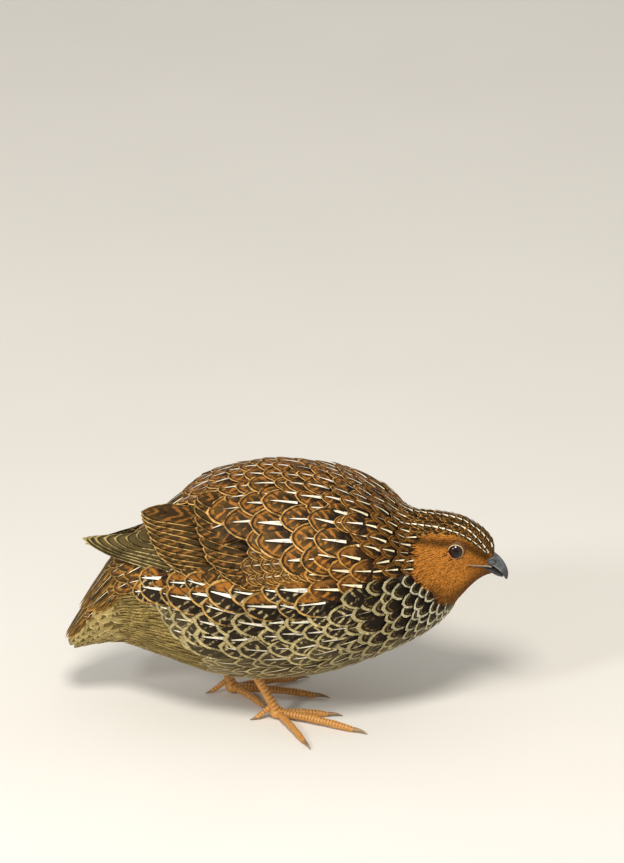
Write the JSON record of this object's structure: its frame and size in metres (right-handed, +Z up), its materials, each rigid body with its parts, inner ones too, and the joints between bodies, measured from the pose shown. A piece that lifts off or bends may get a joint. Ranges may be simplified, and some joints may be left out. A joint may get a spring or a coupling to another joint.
{
  "type": "coturnix quail",
  "caption": "Small plump gamebird standing in a short step, with folded wings, a short let-down tail, a stout hooked bill and bare spreading toes; a still display model.",
  "frame": {"origin": "middle of the bird's box at the level of its soles", "axes": "+X towards the bill, +Y to the bird's left, +Z up"},
  "size_m": [0.1816, 0.0822, 0.1067],
  "materials": {
    "head_plumage": "soft feathers, orange-rufous face under a dark crown",
    "neck_plumage": "dark feathers with narrow white dashes and pale scalloped edges",
    "body_plumage": "dark brown feathers with cream shafts and edges",
    "shin_plumage": "loose grey-buff feathers",
    "wing_plumage": "umber quills and coverts with thin buff edges",
    "tail_plumage": "dark brown quills with cream shafts",
    "bill_horn": "smooth slate-grey horn",
    "eye": "wet and glossy, dark brown",
    "leg_skin": "scaled orange-ochre skin",
    "claw_horn": "smooth grey-brown horn"
  },
  "bodies": {
    "root": {"bill_lower": "bill_horn", "bill_upper": "bill_horn", "claw_hind_left": "claw_horn", "claw_hind_right": "claw_horn", "claw_inner_left": "claw_horn", "claw_inner_right": "claw_horn", "claw_middle_left": "claw_horn", "claw_middle_right": "claw_horn", "claw_outer_left": "claw_horn", "claw_outer_right": "claw_horn", "eye_left": "eye", "eye_right": "eye", "head": "head_plumage", "neck": "neck_plumage", "shank_left": "leg_skin", "shank_right": "leg_skin", "shin_left": "shin_plumage", "shin_right": "shin_plumage", "tail": "tail_plumage", "toe_hind_left": "leg_skin", "toe_hind_right": "leg_skin", "toe_inner_left": "leg_skin", "toe_inner_right": "leg_skin", "toe_middle_left": "leg_skin", "toe_middle_right": "leg_skin", "toe_outer_left": "leg_skin", "toe_outer_right": "leg_skin", "torso": "body_plumage", "wing_left": "wing_plumage", "wing_right": "wing_plumage"}
  },
  "joints": []
}
